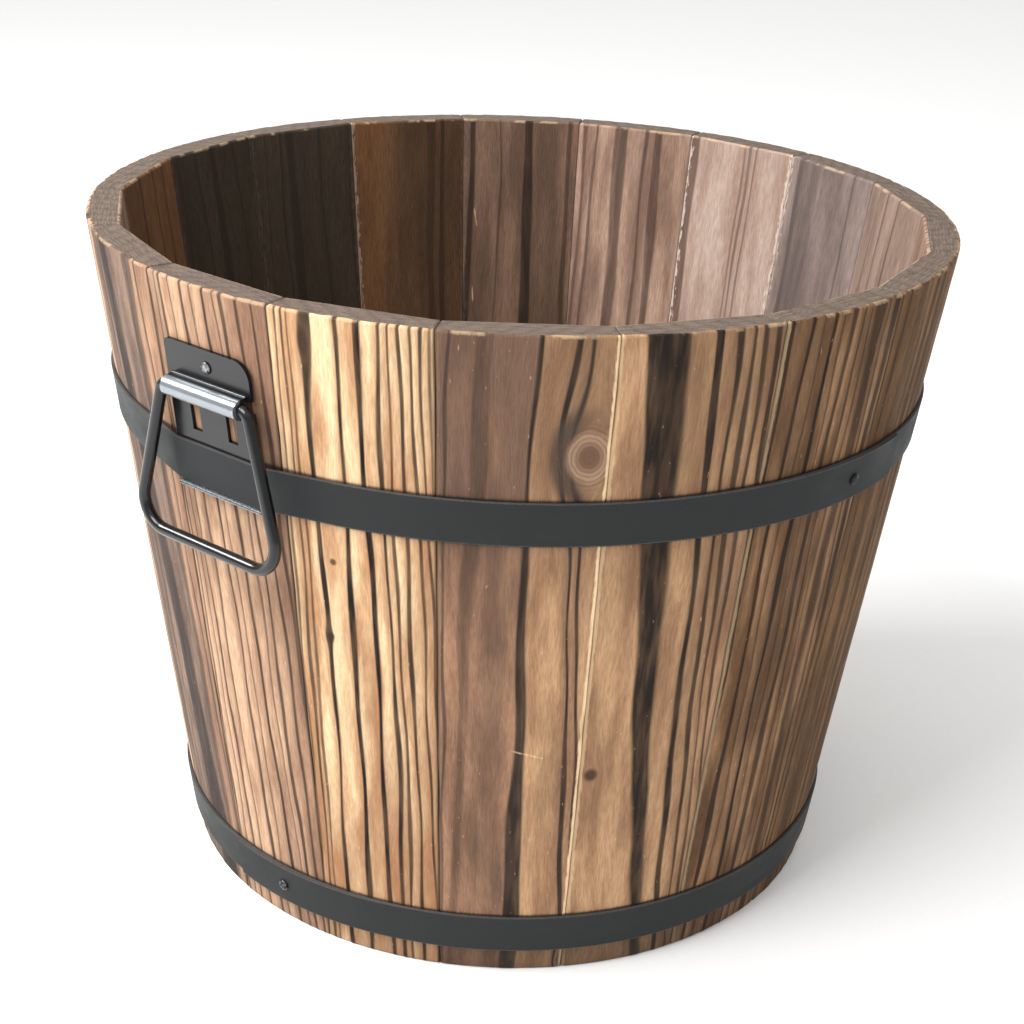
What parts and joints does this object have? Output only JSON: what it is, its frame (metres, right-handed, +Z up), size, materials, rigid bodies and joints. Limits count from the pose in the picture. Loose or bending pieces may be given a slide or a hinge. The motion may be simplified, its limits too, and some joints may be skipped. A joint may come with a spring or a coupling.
{
  "type": "wooden planter",
  "caption": "Tapered round wooden planter of charred staves bound by black steel strap hoops, with a drained board bottom and swinging wire bail handles.",
  "frame": {"origin": "middle of the foot, on the floor plane", "axes": "+Z up along the barrel's axis, the handles face +X and -X"},
  "size_m": [0.3042, 0.3, 0.237],
  "materials": {
    "stave_wood": "charred and brushed fir, oiled",
    "bottom_wood": "sawn fir",
    "strap_steel": "matt black",
    "plate_steel": "satin black",
    "wire_steel": "gloss black",
    "nail_steel": "bright wire nail"
  },
  "bodies": {
    "barrel": {"stave_01": "stave_wood", "stave_02": "stave_wood", "stave_03": "stave_wood", "stave_04": "stave_wood", "stave_05": "stave_wood", "stave_06": "stave_wood", "stave_07": "stave_wood", "stave_08": "stave_wood", "stave_09": "stave_wood", "stave_10": "stave_wood", "stave_11": "stave_wood", "stave_12": "stave_wood", "stave_13": "stave_wood", "stave_14": "stave_wood", "stave_15": "stave_wood", "stave_16": "stave_wood", "stave_17": "stave_wood", "stave_18": "stave_wood", "bottom_board_1": "bottom_wood", "bottom_board_2": "bottom_wood", "bottom_board_3": "bottom_wood", "bottom_board_4": "bottom_wood", "upper_hoop": "strap_steel", "lower_hoop": "strap_steel", "upper_hoop_nail": "nail_steel", "lower_hoop_nail": "nail_steel", "right_handle_nail": "nail_steel", "left_handle_nail": "nail_steel", "right_handle_plate": "plate_steel", "left_handle_plate": "plate_steel"},
    "right_bail": {"right_bail": "wire_steel"},
    "left_bail": {"left_bail": "wire_steel"}
  },
  "joints": [
    {"name": "right_bail_hinge", "type": "hinge", "parent": "barrel", "child": "right_bail", "pos_m": [0.1488, 0, 0.20259], "axis": [0, -1, 0], "range_deg": [-8, 170]},
    {"name": "left_bail_hinge", "type": "hinge", "parent": "barrel", "child": "left_bail", "pos_m": [-0.1488, 0, 0.20259], "axis": [0, 1, 0], "range_deg": [-8, 170]}
  ]
}
